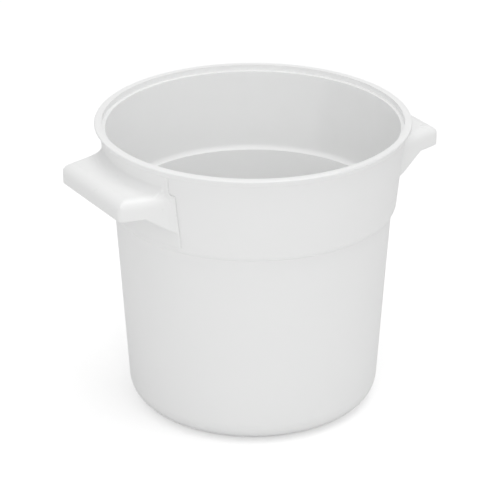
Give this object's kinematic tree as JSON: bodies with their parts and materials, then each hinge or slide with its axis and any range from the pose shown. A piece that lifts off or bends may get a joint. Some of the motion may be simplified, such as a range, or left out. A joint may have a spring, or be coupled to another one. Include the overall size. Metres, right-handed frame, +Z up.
{
  "type": "dough proofing container",
  "caption": "Round open plastic tub for proofing dough, with a tapered lower wall, a wider upper band, a lipped rim and side handles open underneath.",
  "frame": {"origin": "middle of the base, on the surface the tub stands on", "axes": "+Z up through the open mouth, +X through the middle of the right handle"},
  "size_m": [0.3114, 0.264, 0.25],
  "materials": {
    "tub_plastic": "satin natural white polyethylene, slightly see-through",
    "handle_plastic": "satin natural white polyethylene, slightly see-through"
  },
  "bodies": {
    "root": {"tub": "tub_plastic", "handle_left": "handle_plastic", "handle_right": "handle_plastic"}
  },
  "joints": []
}
